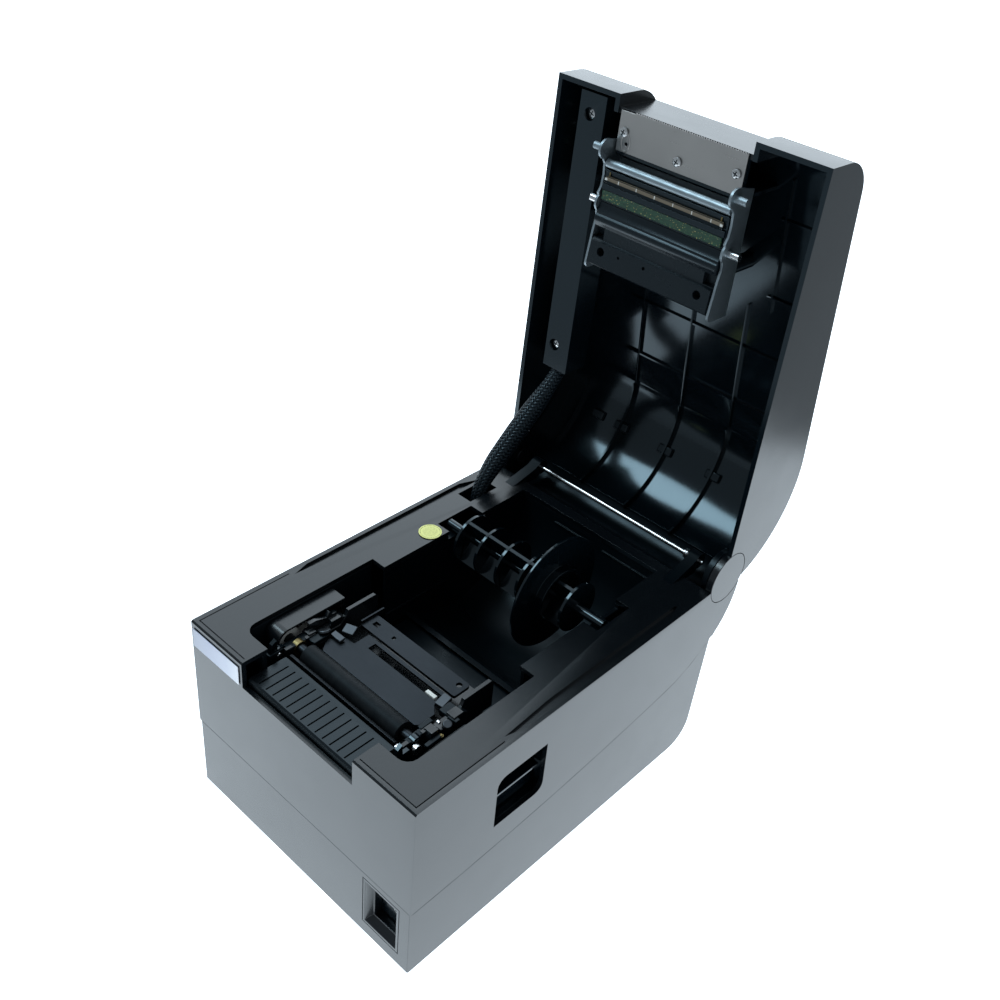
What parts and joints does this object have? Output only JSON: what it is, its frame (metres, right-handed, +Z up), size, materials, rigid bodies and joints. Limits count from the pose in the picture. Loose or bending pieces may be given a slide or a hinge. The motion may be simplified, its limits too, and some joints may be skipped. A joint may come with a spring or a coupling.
{
  "type": "receipt printer",
  "caption": "Compact two-inch thermal receipt printer with hinged lid shown open, drop-in roll bin, spindle with sliding flange, platen mechanism and lid-mounted print head.",
  "frame": {"origin": "middle of the footprint on the table, under the rubber feet, with the lid open", "axes": "+X to the printer's right, +Y from the paper exit towards the hinge, +Z up"},
  "size_m": [0.15, 0.264, 0.3219],
  "materials": {
    "case_plastic": "satin moulded, fine spark texture",
    "bin_plastic": "polished moulded",
    "well_plastic": "satin moulded",
    "bright_steel": "bright nickel plated",
    "plate_steel": "pressed and blackened sheet",
    "brass": "turned",
    "rubber": "matt ground rubber",
    "white_nylon": "moulded",
    "circuit_board": "solder resist",
    "ceramic": "glazed",
    "label": "printed film",
    "sticker": "paper film",
    "light_pipe": "clear tinted",
    "braid": "woven sleeve"
  },
  "bodies": {
    "root": {"lower_case": "case_plastic", "upper_case": "case_plastic", "foot_1": "rubber", "foot_2": "rubber", "foot_3": "rubber", "foot_4": "rubber", "mechanism_bay": "well_plastic", "roll_bin": "well_plastic", "latch_housing": "bin_plastic", "exit_tray": "case_plastic", "name_plate": "label", "inspection_sticker": "sticker", "mechanism_frame": "case_plastic", "platen_bush_left": "brass", "platen_bush_right": "bin_plastic", "stepper_motor": "plate_steel", "gear_cover": "case_plastic", "sensor_plate": "plate_steel", "guide_plate": "plate_steel", "front_guide_bar": "plate_steel", "media_sensor": "white_nylon", "switch_bezel": "case_plastic", "main_board": "circuit_board", "dc_jack": "bin_plastic", "usb_port": "bright_steel", "drawer_port": "bin_plastic", "cable_sleeve": "braid", "hinge_rod": "bright_steel", "hinge_clip": "bright_steel", "hinge_cap_left": "case_plastic", "hinge_cap_right": "case_plastic"},
    "platen": {"platen_shaft": "plate_steel", "platen_roller": "rubber", "platen_gear": "white_nylon"},
    "idler": {"idler_gear": "white_nylon"},
    "pinion": {"motor_pinion": "brass"},
    "latch": {"latch_shaft": "bright_steel", "latch_hook_left": "bin_plastic", "latch_hook_right": "bin_plastic"},
    "release": {"release_slider": "bin_plastic"},
    "spindle": {"roll_spindle": "bin_plastic"},
    "flange": {"roll_flange": "bin_plastic"},
    "rocker": {"power_rocker": "bin_plastic"},
    "lid": {"lid_shell": "case_plastic", "status_light": "light_pipe", "cable_cover": "case_plastic", "cover_screw_1": "bright_steel", "cover_screw_2": "bright_steel", "tear_bar": "bright_steel", "tear_screw_1": "bright_steel", "tear_screw_2": "bright_steel", "tear_screw_3": "bright_steel", "head_bracket": "bright_steel", "head_pin": "bright_steel"},
    "head": {"head_heatsink": "bin_plastic", "print_head": "ceramic", "head_board": "circuit_board", "pressure_bar": "bright_steel", "head_cover": "bin_plastic"},
    "button": {"feed_button": "case_plastic"}
  },
  "joints": [
    {"name": "lid_hinge", "type": "hinge", "parent": "root", "child": "lid", "pos_m": [0, 0.08053, 0.11], "axis": [1, 0, 0], "range_deg": [0, 92.5], "deforming": ["cable_sleeve"]},
    {"name": "platen_spin", "type": "hinge", "parent": "root", "child": "platen", "pos_m": [0, -0.09877, 0.096], "axis": [1, 0, 0], "continuous": true},
    {"name": "idler_spin", "type": "hinge", "parent": "root", "child": "idler", "pos_m": [0, -0.08591, 0.08215], "axis": [1, 0, 0], "continuous": true},
    {"name": "pinion_spin", "type": "hinge", "parent": "root", "child": "pinion", "pos_m": [0, -0.07447, 0.06985], "axis": [1, 0, 0], "continuous": true},
    {"name": "spindle_spin", "type": "hinge", "parent": "root", "child": "spindle", "pos_m": [0, 0.01053, 0.1053], "axis": [1, 0, 0], "continuous": true},
    {"name": "flange_slide", "type": "slide", "parent": "spindle", "child": "flange", "axis": [1, 0, 0], "range_m": [-0.04, 0.012]},
    {"name": "power_rocker_tilt", "type": "hinge", "parent": "root", "child": "rocker", "pos_m": [0.0562, -0.11987, 0.0248], "axis": [1, 0, 0], "range_deg": [0, 10]},
    {"name": "release_slide", "type": "slide", "parent": "root", "child": "release", "axis": [0, 0, 1], "range_m": [0, 0.005], "stiffness_N_per_m": 200, "springref_m": -0.004},
    {"name": "latch_turn", "type": "hinge", "parent": "root", "child": "latch", "pos_m": [0, -0.11197, 0.0795], "axis": [1, 0, 0], "range_deg": [0, 10]},
    {"name": "head_pivot", "type": "hinge", "parent": "lid", "child": "head", "pos_m": [0, 0.08384, 0.27152], "axis": [1, 0, 0], "range_deg": [-2.5, 0], "stiffness_Nm_per_rad": 1.5, "springref_deg": 11.46},
    {"name": "feed_press", "type": "slide", "parent": "lid", "child": "button", "axis": [0, -0.9989, 0.0471], "range_m": [0, 0.001], "stiffness_N_per_m": 300, "springref_m": -0.002}
  ],
  "couplings": [
    {"joint": "idler_spin", "follows": "platen_spin", "ratio": -0.43182},
    {"joint": "pinion_spin", "follows": "platen_spin", "ratio": 1.5833},
    {"joint": "latch_turn", "follows": "release_slide", "rad_per_m": 34.9}
  ]
}
